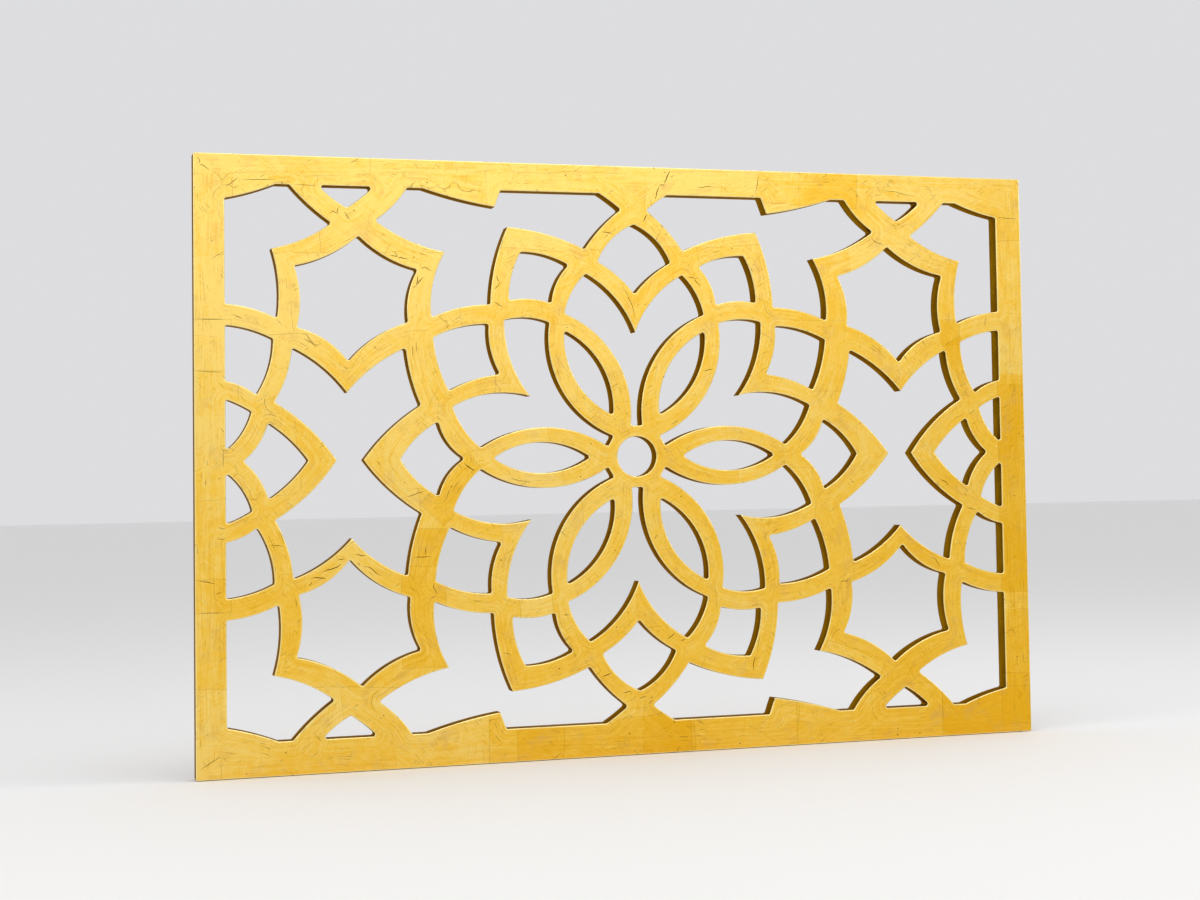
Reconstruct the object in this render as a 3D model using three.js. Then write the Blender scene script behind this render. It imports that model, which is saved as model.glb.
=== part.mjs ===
// Gilded pierced screen: one flat board, cut right through with strapwork round a six-petalled rosette.
// Millimetres. X runs along the width, Z is up, and the gilded face looks to -Y.
// The origin is on the back, in the middle of the top rim, where the screen is fixed.
import * as THREE from "three";

// Board and rim
const THICKNESS = 19;
const FIELD_HALF_WIDTH = 407.5;
const FIELD_HALF_HEIGHT = 269.25;
const RIM_SIDE = 29;
const RIM_TOP = 28.5;
const RIM_BOTTOM = 33;
const BOARD_CORNER_RADIUS = 1.5;

// Cutting
const CUTTER_RADIUS = 2;
const SHARP_TURN = THREE.MathUtils.degToRad(25);
const CHORD_ERROR = 0.12;

// Rosette: hub hole, petal eyes and the slots between the petals, measured from the hub
const PETALS = 6;
const HUB_RADIUS = 20.5;
const EYE = { inner: 49, outer: 148, halfWidth: 15.5 };
const SLOT = { inner: 31.5, halfWidth: 6 };

// Every opening is a ring of corners [x, z, bow] round the hub, anticlockwise.
// The bow is how far the side after that corner swells out of the opening (less than 0: into it).
const slotCorner = (degrees, side) => {
  const corner = new THREE.Vector2(SLOT.inner, side * SLOT.halfWidth);
  corner.rotateAround(new THREE.Vector2(), THREE.MathUtils.degToRad(degrees));
  return [corner.x, corner.y];
};

// Openings of the rosette
const LEAF_OPENING_ABOVE_HALF = [
  [...slotCorner(90, -1), -22.5],
  [73.5, 145.5, 3.7],
  [51, 186.5, 7.1],
  [0, 127, 0],
];
const LEAF_OPENING_ASIDE = [
  [...slotCorner(30, -1), -20],
  [160.5, 10.5, 3.5],
  [188.5, 51.5, 7.9],
  [110, 62, 7.1],
  [135.5, 138.5, 3.7],
  [89.5, 136.5, -23.2],
  [...slotCorner(30, 1), 0],
];
const KITE_ABOVE_HALF = [
  [0, 166, -2.7],
  [38.5, 199, 5.5],
  [0, 238, 0],
];
const KITE_ASIDE_HALF = [
  [240.5, 0, 3.7],
  [203, 37, -4.5],
  [177, 0, 0],
];
const KITE_BY_PETAL = [
  [130.5, 158.5, 3.2],
  [118, 207.5, 3.5],
  [69, 195, -3.8],
  [87, 156, -2.9],
];
const KITE_BY_LEAF = [
  [192, 67.5, 2.7],
  [207, 120.5, 3.6],
  [151.5, 134.5, -3.9],
  [140.5, 84, -2.9],
];

// Openings between the rosette, its neighbours and the rim
const ARCH = [
  [13.5, 253, -2.4],
  [52, 211.5, -4],
  [131.5, 232.5, -4],
  [149.5, 154, -3.5],
  [208.5, 140.5, 5.3],
  [194.5, 206, 4.4],
  [263.5, 236, -2.5],
  [231.5, FIELD_HALF_HEIGHT, 0],
  [216, FIELD_HALF_HEIGHT, -1.6],
  [144, 252.5, 0],
  [138, FIELD_HALF_HEIGHT, 0],
  [36, FIELD_HALF_HEIGHT, 0.5],
];
const STAR = [
  [290.5, 96.5, -5.5],
  [339.5, 129.5, -4.3],
  [342, 190, -4.7],
  [279.5, 220.5, -4.7],
  [222, 188, -4.4],
  [232, 135.5, -5.5],
];
const RIM_TRIANGLE = [
  [291, 248, 1.5],
  [318, FIELD_HALF_HEIGHT, 0],
  [265, FIELD_HALF_HEIGHT, 1],
];
const CORNER_OPENING = [
  [306, 232.5, 3.6],
  [363.5, 206.5, 3.7],
  [358.5, 138.5, -2.6],
  [FIELD_HALF_WIDTH, 152, 0],
  [FIELD_HALF_WIDTH, 254.5, -1.3],
  [359.5, FIELD_HALF_HEIGHT, 0],
  [346, FIELD_HALF_HEIGHT, -1.8],
];
const SIDE_OPENING_UPPER = [
  [378.5, 64, -2.1],
  [FIELD_HALF_WIDTH, 77.5, 0],
  [FIELD_HALF_WIDTH, 131.5, 2.4],
  [362.5, 118.5, 4.1],
];
const SIDE_OPENING_LOWER = [
  [FIELD_HALF_WIDTH, 10.5, 0],
  [FIELD_HALF_WIDTH, 60, 0.7],
  [383, 48, 3.8],
];
const SIDE_KITE_HALF = [
  [391, 0, -3.5],
  [367.5, 37, 2.6],
  [329.5, 0, 0],
];

// The opening between two rosettes. The strap tip that hangs into its upper half is the longer one.
const throatHalf = (tip, shoulder) => [
  [302.5, 0, -4.8],
  [361.5, 57, -3.4],
  [344.5, shoulder, 4.2],
  [...tip, 4.3],
  [234.5, shoulder, -2.3],
  [220, 53.5, -3.8],
  [276.5, 0, 0],
];
const THROAT_UPPER = throatHalf([292, 66], 110);
const THROAT_LOWER = throatHalf([288.5, 76.5], 114.5);

// A ring mirrored in the hub's axes, still anticlockwise.
function flip(ring, sx, sz) {
  const moved = ring.map(([x, z, bow]) => [x * sx, z * sz, bow]);
  if (sx * sz > 0) return moved;
  const n = moved.length;
  return moved.map((_, i) => {
    const [x, z] = moved[n - 1 - i];
    return [x, z, moved[(2 * n - 2 - i) % n][2]];
  });
}

// A whole ring from its two halves, which meet on an axis or across a straight side.
function join(half, other) {
  const onAxis = ([x, z]) => Math.abs(x) < 1e-9 || Math.abs(z) < 1e-9;
  const ring = half.map((corner) => [...corner]);
  if (onAxis(ring.at(-1))) ring.at(-1)[2] = other[0][2];
  const from = onAxis(other[0]) ? 1 : 0;
  const to = onAxis(other.at(-1)) ? other.length - 1 : other.length;
  return ring.concat(other.slice(from, to));
}

// The mirrored half runs on from the end of the first one.
function mirrorHalf(half, sx, sz) {
  const n = half.length;
  return half.map((_, i) => {
    const [x, z] = half[n - 1 - i];
    return [x * sx, z * sz, i < n - 1 ? half[n - 2 - i][2] : 0];
  });
}

const acrossX = (half) => join(half, mirrorHalf(half, 1, -1));
const acrossZ = (half) => join(half, mirrorHalf(half, -1, 1));

// One side of an opening: a straight line or an arc, with the opening on its left.
class Side {
  constructor([x0, z0, bow], [x1, z1]) {
    this.start = new THREE.Vector2(x0, z0);
    this.end = new THREE.Vector2(x1, z1);
    const chord = this.end.clone().sub(this.start);
    this.left = new THREE.Vector2(-chord.y, chord.x).normalize();
    this.bend = Math.sign(bow);
    if (bow === 0) return;
    const middle = this.start.clone().add(this.end).multiplyScalar(0.5);
    this.radius = (chord.lengthSq() / 4 + bow * bow) / (2 * Math.abs(bow));
    this.centre = middle.addScaledVector(this.left, this.bend * this.radius - bow);
  }

  // How deep a point lies inside the opening, and the way further in.
  inside(point) {
    if (this.bend === 0) {
      const depth = point.clone().sub(this.start).dot(this.left);
      return { depth, way: this.left };
    }
    const out = point.clone().sub(this.centre);
    const depth = this.bend * (this.radius - out.length());
    return { depth, way: out.normalize().multiplyScalar(-this.bend) };
  }

  direction(point) {
    const { way } = this.inside(point);
    return new THREE.Vector2(way.y, -way.x);
  }

  // Points from one place on the side up to another, without the last one.
  points(from, to) {
    if (this.bend === 0) return [from];
    const start = from.clone().sub(this.centre).angle();
    const turn = to.clone().sub(this.centre).angle() - start;
    return arc(this.centre, this.radius, start, wrap(turn, this.bend));
  }
}

// The same turn taken the given way round.
function wrap(turn, way) {
  const full = 2 * Math.PI;
  return way > 0 ? ((turn % full) + full) % full : -(((-turn % full) + full) % full);
}

// Points of an arc, close enough together for the chord error, without the last one.
function arc(centre, radius, start, turn) {
  const step = 2 * Math.acos(1 - Math.min(CHORD_ERROR / radius, 0.15));
  const count = Math.max(1, Math.ceil(Math.abs(turn) / step));
  const points = [];
  for (let i = 0; i < count; i++) {
    const angle = start + (turn * i) / count;
    points.push(new THREE.Vector2(Math.cos(angle), Math.sin(angle)).multiplyScalar(radius).add(centre));
  }
  return points;
}

// Where a corner is left by the round cutter, or left sharp where the wood comes to a tip.
function cutCorner(before, after, radius) {
  const tip = before.end.clone();
  const turn = wrap(after.direction(tip).angle() - before.direction(tip).angle() + Math.PI, 1) - Math.PI;
  if (turn < SHARP_TURN) return { enter: tip, leave: tip, points: [] };
  const centre = tip.clone();
  for (let i = 0; i < 12; i++) {
    const a = before.inside(centre);
    const b = after.inside(centre);
    const cross = a.way.x * b.way.y - a.way.y * b.way.x;
    const da = radius - a.depth;
    const db = radius - b.depth;
    centre.x += (da * b.way.y - db * a.way.y) / cross;
    centre.y += (db * a.way.x - da * b.way.x) / cross;
  }
  const enter = centre.clone().addScaledVector(before.inside(centre).way, -radius);
  const leave = centre.clone().addScaledVector(after.inside(centre).way, -radius);
  const start = enter.clone().sub(centre).angle();
  const swept = wrap(leave.clone().sub(centre).angle() - start, 1);
  return { enter, leave, points: arc(centre, radius, start, swept) };
}

// The outline of a ring of corners, its inner corners rounded to the given radius.
function outline(ring, radius) {
  const sides = ring.map((corner, i) => new Side(corner, ring[(i + 1) % ring.length]));
  const corners = sides.map((side, i) => cutCorner(sides.at(i - 1), side, radius));
  return sides.flatMap((side, i) => {
    const here = corners[i];
    const next = corners[(i + 1) % corners.length];
    return [...here.points, ...side.points(here.leave, next.enter)];
  });
}

function eye(degrees) {
  const turn = THREE.MathUtils.degToRad(degrees);
  const hub = new THREE.Vector2();
  const ends = [EYE.outer, EYE.inner].map((along) => new THREE.Vector2(along, 0).rotateAround(hub, turn));
  return ends.map(({ x, y }) => [x, y, EYE.halfWidth]);
}

function openings() {
  const rings = [];
  const quarters = [[1, 1], [-1, 1], [1, -1], [-1, -1]];
  for (let i = 0; i < PETALS; i++) rings.push(eye((360 / PETALS) * i));
  for (const cell of [acrossZ(LEAF_OPENING_ABOVE_HALF), acrossZ(KITE_ABOVE_HALF)]) {
    rings.push(cell, flip(cell, 1, -1));
  }
  const throat = join(THROAT_UPPER, mirrorHalf(THROAT_LOWER, 1, -1));
  for (const cell of [acrossX(KITE_ASIDE_HALF), acrossX(SIDE_KITE_HALF), throat]) {
    rings.push(cell, flip(cell, -1, 1));
  }
  const mirroredFourTimes = [
    LEAF_OPENING_ASIDE,
    KITE_BY_PETAL,
    KITE_BY_LEAF,
    ARCH,
    STAR,
    RIM_TRIANGLE,
    CORNER_OPENING,
    SIDE_OPENING_UPPER,
    SIDE_OPENING_LOWER,
  ];
  for (const cell of mirroredFourTimes) {
    for (const [sx, sz] of quarters) rings.push(flip(cell, sx, sz));
  }
  return rings;
}

function board() {
  const right = FIELD_HALF_WIDTH + RIM_SIDE;
  const top = FIELD_HALF_HEIGHT + RIM_TOP;
  const bottom = -FIELD_HALF_HEIGHT - RIM_BOTTOM;
  const edge = [[right, bottom, 0], [right, top, 0], [-right, top, 0], [-right, bottom, 0]];
  const face = new THREE.Shape(outline(edge, BOARD_CORNER_RADIUS));
  face.holes.push(new THREE.Path(arc(new THREE.Vector2(), HUB_RADIUS, 0, 2 * Math.PI)));
  for (const ring of openings()) face.holes.push(new THREE.Path(outline(ring, CUTTER_RADIUS)));
  const solid = new THREE.ExtrudeGeometry(face, { depth: THICKNESS, bevelEnabled: false });
  solid.rotateX(Math.PI / 2);
  solid.translate(0, 0, -FIELD_HALF_HEIGHT - RIM_TOP / 2);
  return solid;
}

const gilding = new THREE.MeshStandardMaterial({ color: 0xd9a93a, metalness: 0.9, roughness: 0.4 });
const panel = new THREE.Mesh(board(), gilding);
panel.name = "panel";

const group = new THREE.Group();
group.add(panel);
export default group;
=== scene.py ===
"""Gilded pierced screen: one board, cut right through with strapwork round a six-petalled rosette.

Lengths are in millimetres until a mesh is made, which is in metres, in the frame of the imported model:
X runs along the width, Z is up and the gilded face looks to -Y. Points of the pattern are complex
numbers, x + z * 1j, measured from the middle of the rosette.
"""

from __future__ import annotations

import cmath
import logging
import math
import random
from dataclasses import dataclass, field
from enum import Enum, IntEnum

import bpy
import numpy as np
from mathutils import Matrix, Vector, kdtree
from mathutils.geometry import delaunay_2d_cdt


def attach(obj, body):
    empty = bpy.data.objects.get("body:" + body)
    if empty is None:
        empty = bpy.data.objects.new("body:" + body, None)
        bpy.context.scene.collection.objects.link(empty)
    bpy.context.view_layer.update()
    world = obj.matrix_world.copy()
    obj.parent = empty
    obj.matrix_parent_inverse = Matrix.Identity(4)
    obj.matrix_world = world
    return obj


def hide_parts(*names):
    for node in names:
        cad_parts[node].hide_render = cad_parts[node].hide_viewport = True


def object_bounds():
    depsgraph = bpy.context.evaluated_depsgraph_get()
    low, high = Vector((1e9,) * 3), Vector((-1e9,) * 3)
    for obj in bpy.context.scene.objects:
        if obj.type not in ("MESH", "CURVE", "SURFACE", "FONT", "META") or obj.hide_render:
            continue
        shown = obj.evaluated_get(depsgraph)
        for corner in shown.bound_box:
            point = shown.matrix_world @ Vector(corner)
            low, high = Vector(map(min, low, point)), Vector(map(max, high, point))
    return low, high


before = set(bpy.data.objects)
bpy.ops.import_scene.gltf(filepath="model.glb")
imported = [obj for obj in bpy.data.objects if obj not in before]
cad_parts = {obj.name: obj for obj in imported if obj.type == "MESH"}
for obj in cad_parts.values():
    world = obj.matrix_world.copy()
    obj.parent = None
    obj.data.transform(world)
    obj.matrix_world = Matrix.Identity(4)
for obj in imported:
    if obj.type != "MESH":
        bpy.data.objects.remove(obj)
cad_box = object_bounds()
log = logging.getLogger("screen")

Ring = list[tuple[float, float, float]]
Colour = tuple[float, float, float, float]
Source = float | tuple[float, ...] | bpy.types.NodeSocket
MM = 0.001
HUB_HEIGHT = -0.2835
CENTRE_ROUNDS = 12
SHARPEST_MITRE = 0.34
GRAIN_UNIT = 0.01
RELIEF_DEPTH = 0.0004


class Quarter(Enum):
    """The four quarters of the pattern, as the signs of their x and z."""

    UPPER_RIGHT = (1, 1)
    UPPER_LEFT = (-1, 1)
    LOWER_RIGHT = (1, -1)
    LOWER_LEFT = (-1, -1)


class Surface(IntEnum):
    """The board's finishes, in the order of its material slots."""

    GILDED_FACE = 0
    CUT_EDGE = 1
    SEALED_BACK = 2


def wrap(turn: float, way: int) -> float:
    """Take the same turn the given way round.

    Args:
        turn: An angle in radians.
        way: 1 for anticlockwise, -1 for clockwise.

    Returns:
        The angle in one full turn that way.
    """
    full = 2 * math.pi
    return turn % full if way > 0 else -(-turn % full)


@dataclass(frozen=True)
class Cutter:
    """How an outline is cut and how finely it is followed."""

    radius: float = 2.0
    sharp_turn: float = math.radians(25)
    chord_error: float = 0.03
    coarsest: float = 0.15
    spacing: float = 4.5

    def arc(self, centre: complex, radius: float, start: float, turn: float) -> list[complex]:
        """Follow an arc.

        Args:
            centre: The arc's centre.
            radius: Its radius.
            start: The angle at which it starts.
            turn: The angle that it sweeps.

        Returns:
            Its points, without the last one.
        """
        sag = min(self.chord_error / radius, self.coarsest)
        step = min(2 * math.acos(1 - sag), self.spacing / radius)
        count = max(1, math.ceil(abs(turn) / step))
        return [centre + cmath.rect(radius, start + turn * i / count) for i in range(count)]


@dataclass
class Side:
    """One side of an opening, straight or an arc, with the opening on its left."""

    start: complex
    end: complex
    bow: float
    left: complex = field(init=False)
    bend: int = field(init=False)
    radius: float = field(init=False, default=0.0)
    centre: complex = field(init=False, default=0j)

    def __post_init__(self) -> None:
        """Work out the arc from its bow."""
        chord = self.end - self.start
        self.left = 1j * chord / abs(chord)
        self.bend = (self.bow > 0) - (self.bow < 0)
        if self.bend:
            self.radius = (abs(chord) ** 2 / 4 + self.bow**2) / (2 * abs(self.bow))
            middle = (self.start + self.end) / 2
            self.centre = middle + self.left * (self.bend * self.radius - self.bow)

    def inside(self, point: complex) -> tuple[float, complex]:
        """Find how deep a point lies inside the opening.

        Args:
            point: Any point.

        Returns:
            Its depth from this side, and the way further in.
        """
        if not self.bend:
            return ((point - self.start) * self.left.conjugate()).real, self.left
        out = point - self.centre
        return self.bend * (self.radius - abs(out)), -self.bend * out / abs(out)

    def heading(self, point: complex) -> complex:
        """Return the way along the side at a point of it."""
        return -1j * self.inside(point)[1]

    def points(self, first: complex, last: complex, cutter: Cutter) -> list[complex]:
        """Follow the side.

        Args:
            first: Where to start on the side.
            last: Where to stop.
            cutter: How finely it is followed.

        Returns:
            The points, without the last one.
        """
        if not self.bend:
            count = max(1, int(abs(last - first) / cutter.spacing))
            return [first + (last - first) * i / count for i in range(count)]
        start = cmath.phase(first - self.centre)
        turn = cmath.phase(last - self.centre) - start
        return cutter.arc(self.centre, self.radius, start, wrap(turn, self.bend))


@dataclass
class CutCorner:
    """A corner as the round cutter leaves it, or a sharp tip of wood that it passes by."""

    enter: complex
    leave: complex
    points: list[complex]

    @classmethod
    def between(cls, before: Side, after: Side, cutter: Cutter) -> CutCorner:
        """Cut the corner where two sides meet.

        Args:
            before: The side that ends at the corner.
            after: The side that starts there.
            cutter: The cutter.

        Returns:
            The corner, with the cutter's arc if it turns inwards.
        """
        tip = before.end
        turn = cmath.phase(after.heading(tip) / before.heading(tip))
        if turn < cutter.sharp_turn:
            return cls(tip, tip, [])
        centre = tip
        for _ in range(CENTRE_ROUNDS):
            depth_a, a = before.inside(centre)
            depth_b, b = after.inside(centre)
            short_a, short_b = cutter.radius - depth_a, cutter.radius - depth_b
            centre += 1j * (short_b * a - short_a * b) / (a.conjugate() * b).imag
        enter = centre - before.inside(centre)[1] * cutter.radius
        leave = centre - after.inside(centre)[1] * cutter.radius
        start = cmath.phase(enter - centre)
        swept = wrap(cmath.phase(leave - centre) - start, 1)
        return cls(enter, leave, cutter.arc(centre, cutter.radius, start, swept))


@dataclass
class CutLine:
    """A closed line cut in the board, with the way into the wood at each of its points."""

    points: np.ndarray
    wood_on_left: bool

    @classmethod
    def round_ring(cls, ring: Ring, cutter: Cutter, wood_on_left: bool = False) -> CutLine:
        """Cut along a ring of corners.

        Args:
            ring: Corners as x, z and the bow of the side that follows, anticlockwise.
            cutter: The cutter, whose radius is left in the inner corners.
            wood_on_left: True for the board's own edge.

        Returns:
            The cut line.
        """
        corners = [complex(x, z) for x, z, _ in ring]
        ends = corners[1:] + corners[:1]
        sides = [Side(a, b, c[2]) for a, b, c in zip(corners, ends, ring)]
        cuts = [CutCorner.between(sides[i - 1], side, cutter) for i, side in enumerate(sides)]
        line: list[complex] = []
        for side, here, after in zip(sides, cuts, cuts[1:] + cuts[:1]):
            line += here.points + side.points(here.leave, after.enter, cutter)
        return cls(np.array(line), wood_on_left)

    def into_wood(self) -> np.ndarray:
        """Find the way into the wood.

        Returns:
            For each point the move that shifts the whole line 1 mm into the wood.
        """
        edges = np.roll(self.points, -1) - self.points
        after = (1j if self.wood_on_left else -1j) * edges / np.abs(edges)
        before = np.roll(after, 1)
        mitre = (after + before) / np.abs(after + before)
        reach = (mitre * after.conjugate()).real
        return mitre / np.maximum(reach, SHARPEST_MITRE)

    def lengths(self) -> np.ndarray:
        """Return the length along the line at each point, and at the end."""
        edges = np.abs(np.roll(self.points, -1) - self.points)
        return np.concatenate([[0.0], np.cumsum(edges)])


def flip(ring: Ring, quarter: Quarter) -> Ring:
    """Mirror a ring of the upper right quarter into another one.

    Args:
        ring: The ring, anticlockwise.
        quarter: Where it goes.

    Returns:
        The mirrored ring, still anticlockwise.
    """
    sx, sz = quarter.value
    moved = [(x * sx, z * sz, bow) for x, z, bow in ring]
    if sx * sz > 0:
        return moved
    n = len(moved)
    return [(*moved[n - 1 - i][:2], moved[(2 * n - 2 - i) % n][2]) for i in range(n)]


def join(half: Ring, other: Ring) -> Ring:
    """Make a whole ring of two halves that meet on an axis or across a straight side.

    Args:
        half: The first half.
        other: The half that runs on from its end.

    Returns:
        The ring.
    """

    def on_axis(corner: tuple[float, float, float]) -> bool:
        """Return whether a corner is on an axis of the rosette."""
        return min(abs(corner[0]), abs(corner[1])) < 1e-9

    ring = list(half)
    if on_axis(ring[-1]):
        ring[-1] = (*ring[-1][:2], other[0][2])
    first = 1 if on_axis(other[0]) else 0
    last = len(other) - 1 if on_axis(other[-1]) else len(other)
    return ring + list(other[first:last])


def mirror_half(half: Ring, quarter: Quarter) -> Ring:
    """Mirror a half ring so that it runs on from the end of the first.

    Args:
        half: The half ring.
        quarter: Which signs it changes.

    Returns:
        The mirrored half.
    """
    sx, sz = quarter.value
    back = half[::-1]
    bows = [corner[2] for corner in back[1:]] + [0.0]
    return [(x * sx, z * sz, bow) for (x, z, _), bow in zip(back, bows)]


@dataclass
class Strapwork:
    """The pattern of openings: the rosette, its neighbours and the gaps along the rim."""

    half_width: float = 407.5
    half_height: float = 269.25
    petals: int = 6
    hub_radius: float = 20.5
    eye_inner: float = 49.0
    eye_outer: float = 148.0
    eye_half_width: float = 15.5
    slot_inner: float = 31.5
    slot_half_width: float = 6.0
    cutter: Cutter = Cutter()

    def slot_corner(self, degrees: float, side: int) -> tuple[float, float]:
        """Place a corner of the slot between two petals.

        Args:
            degrees: The angle of the slot.
            side: The side of the slot's axis, 1 or -1.

        Returns:
            The corner's x and z.
        """
        turned = complex(self.slot_inner, side * self.slot_half_width)
        turned *= cmath.rect(1, math.radians(degrees))
        return turned.real, turned.imag

    def eye(self, degrees: float) -> Ring:
        """Draw the pointed opening in a petal.

        Args:
            degrees: The angle of the petal.

        Returns:
            The ring of the opening.
        """
        way = cmath.rect(1, math.radians(degrees))
        ends = [way * self.eye_outer, way * self.eye_inner]
        return [(end.real, end.imag, self.eye_half_width) for end in ends]

    def rosette_rings(self) -> list[Ring]:
        """Draw the openings in the rosette.

        Returns:
            Their rings, without the hub.
        """
        rings = [self.eye(360 / self.petals * i) for i in range(self.petals)]
        leaf_above = [
            (*self.slot_corner(90, -1), -22.5),
            (73.5, 145.5, 3.7),
            (51, 186.5, 7.1),
            (0, 127, 0),
        ]
        leaf_aside = [
            (*self.slot_corner(30, -1), -20),
            (160.5, 10.5, 3.5),
            (188.5, 51.5, 7.9),
            (110, 62, 7.1),
            (135.5, 138.5, 3.7),
            (89.5, 136.5, -23.2),
            (*self.slot_corner(30, 1), 0),
        ]
        kite_above = [(0, 166, -2.7), (38.5, 199, 5.5), (0, 238, 0)]
        kite_aside = [(240.5, 0, 3.7), (203, 37, -4.5), (177, 0, 0)]
        kite_by_petal = [(130.5, 158.5, 3.2), (118, 207.5, 3.5), (69, 195, -3.8), (87, 156, -2.9)]
        kite_by_leaf = [(192, 67.5, 2.7), (207, 120.5, 3.6), (151.5, 134.5, -3.9), (140.5, 84, -2.9)]
        for half in (leaf_above, kite_above):
            cell = join(half, mirror_half(half, Quarter.UPPER_LEFT))
            rings += [cell, flip(cell, Quarter.LOWER_RIGHT)]
        cell = join(kite_aside, mirror_half(kite_aside, Quarter.LOWER_RIGHT))
        rings += [cell, flip(cell, Quarter.UPPER_LEFT)]
        for cell in (leaf_aside, kite_by_petal, kite_by_leaf):
            rings += [flip(cell, quarter) for quarter in Quarter]
        return rings

    def throat(self) -> Ring:
        """Draw the opening between two rosettes, whose upper strap tip hangs lower.

        Returns:
            The ring of the opening.
        """

        def half(tip: tuple[float, float], shoulder: float) -> Ring:
            """Draw one half.

            Args:
                tip: The tip of the strap that ends in the opening.
                shoulder: How far up the shoulders are.

            Returns:
                The half ring.
            """
            return [
                (302.5, 0, -4.8),
                (361.5, 57, -3.4),
                (344.5, shoulder, 4.2),
                (*tip, 4.3),
                (234.5, shoulder, -2.3),
                (220, 53.5, -3.8),
                (276.5, 0, 0),
            ]

        lower = mirror_half(half((288.5, 76.5), 114.5), Quarter.LOWER_RIGHT)
        return join(half((292, 66), 110), lower)

    def border_rings(self) -> list[Ring]:
        """Draw the openings between the rosette, its neighbours and the rim.

        Returns:
            Their rings.
        """
        w, h = self.half_width, self.half_height
        arch = [
            (13.5, 253, -2.4),
            (52, 211.5, -4),
            (131.5, 232.5, -4),
            (149.5, 154, -3.5),
            (208.5, 140.5, 5.3),
            (194.5, 206, 4.4),
            (263.5, 236, -2.5),
            (231.5, h, 0),
            (216, h, -1.6),
            (144, 252.5, 0),
            (138, h, 0),
            (36, h, 0.5),
        ]
        star = [
            (290.5, 96.5, -5.5),
            (339.5, 129.5, -4.3),
            (342, 190, -4.7),
            (279.5, 220.5, -4.7),
            (222, 188, -4.4),
            (232, 135.5, -5.5),
        ]
        rim_triangle = [(291, 248, 1.5), (318, h, 0), (265, h, 1)]
        corner = [
            (306, 232.5, 3.6),
            (363.5, 206.5, 3.7),
            (358.5, 138.5, -2.6),
            (w, 152, 0),
            (w, 254.5, -1.3),
            (359.5, h, 0),
            (346, h, -1.8),
        ]
        side_upper = [(378.5, 64, -2.1), (w, 77.5, 0), (w, 131.5, 2.4), (362.5, 118.5, 4.1)]
        side_lower = [(w, 10.5, 0), (w, 60, 0.7), (383, 48, 3.8)]
        side_kite = [(391, 0, -3.5), (367.5, 37, 2.6), (329.5, 0, 0)]
        rings: list[Ring] = []
        for cell in (join(side_kite, mirror_half(side_kite, Quarter.LOWER_RIGHT)), self.throat()):
            rings += [cell, flip(cell, Quarter.UPPER_LEFT)]
        for cell in (arch, star, rim_triangle, corner, side_upper, side_lower):
            rings += [flip(cell, quarter) for quarter in Quarter]
        return rings

    def cut_lines(self) -> list[CutLine]:
        """Cut every opening.

        Returns:
            Their cut lines, the hub's first.
        """
        hub = CutLine(np.array(self.cutter.arc(0j, self.hub_radius, 0, 2 * math.pi)), False)
        rings = self.rosette_rings() + self.border_rings()
        return [hub] + [CutLine.round_ring(ring, self.cutter) for ring in rings]


@dataclass(frozen=True)
class Crack:
    """A hairline where the leaf has split: where it starts, its heading in degrees and its length."""

    x: float
    z: float
    heading: float
    length: float
    half_width: float = 0.35
    wander: float = 16.0
    step: float = 1.6
    memory: float = 0.6

    def centre_line(self, dice: random.Random) -> list[complex]:
        """Let the crack wander off from its start.

        Args:
            dice: Where the wandering comes from.

        Returns:
            Its points, about a step apart.
        """
        count = max(3, round(self.length / self.step))
        point, line = complex(self.x, self.z), []
        drift = 0.0
        for _ in range(count + 1):
            line.append(point)
            drift = self.memory * drift + dice.gauss(0, self.wander)
            point += cmath.rect(self.length / count, math.radians(self.heading + drift))
        return line


@dataclass
class MeshDraft:
    """The vertices and faces of a mesh while it is put together."""

    points: list[tuple[float, float, float]] = field(default_factory=list)
    faces: list[tuple[int, ...]] = field(default_factory=list)
    surfaces: list[int] = field(default_factory=list)
    grain: list[tuple[float, float]] = field(default_factory=list)
    crack: dict[int, float] = field(default_factory=dict)
    # painted highlight: the share of the pale rim colour that each vertex of the front ease gets
    rim_highlight: dict[int, float] = field(default_factory=dict)

    def add_face(
        self, corners: tuple[int, ...], surface: Surface, grain: list[tuple[float, float]]
    ) -> None:
        """Add a face.

        Args:
            corners: Its vertices.
            surface: Its finish.
            grain: The place of each corner along and across the strap, in millimetres.
        """
        self.faces.append(corners)
        self.surfaces.append(int(surface))
        self.grain += grain

    def build(self, name: str) -> bpy.types.Object:
        """Make the object.

        Args:
            name: The piece's name.

        Returns:
            The object, linked to the scene, with its grain as a UV map, and its cracks and its painted rim
            highlight as attributes.
        """
        mesh = bpy.data.meshes.new(name)
        mesh.from_pydata([tuple(MM * c for c in p) for p in self.points], [], self.faces)
        mesh.polygons.foreach_set("material_index", self.surfaces)
        mesh.polygons.foreach_set("use_smooth", [True] * len(self.faces))
        grain = mesh.uv_layers.new(name="grain")
        grain.data.foreach_set("uv", np.array(self.grain, dtype=np.float32).ravel() * GRAIN_UNIT)
        for label, values in (("crack", self.crack), ("rim_highlight", self.rim_highlight)):
            layer = mesh.attributes.new(label, "FLOAT", "POINT")
            spread = np.zeros(len(self.points), dtype=np.float32)
            spread[list(values.keys())] = list(values.values())
            layer.data.foreach_set("value", spread)
        mesh.validate()
        mesh.update()
        made = bpy.data.objects.new(name, mesh)
        bpy.context.scene.collection.objects.link(made)
        return made


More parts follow.
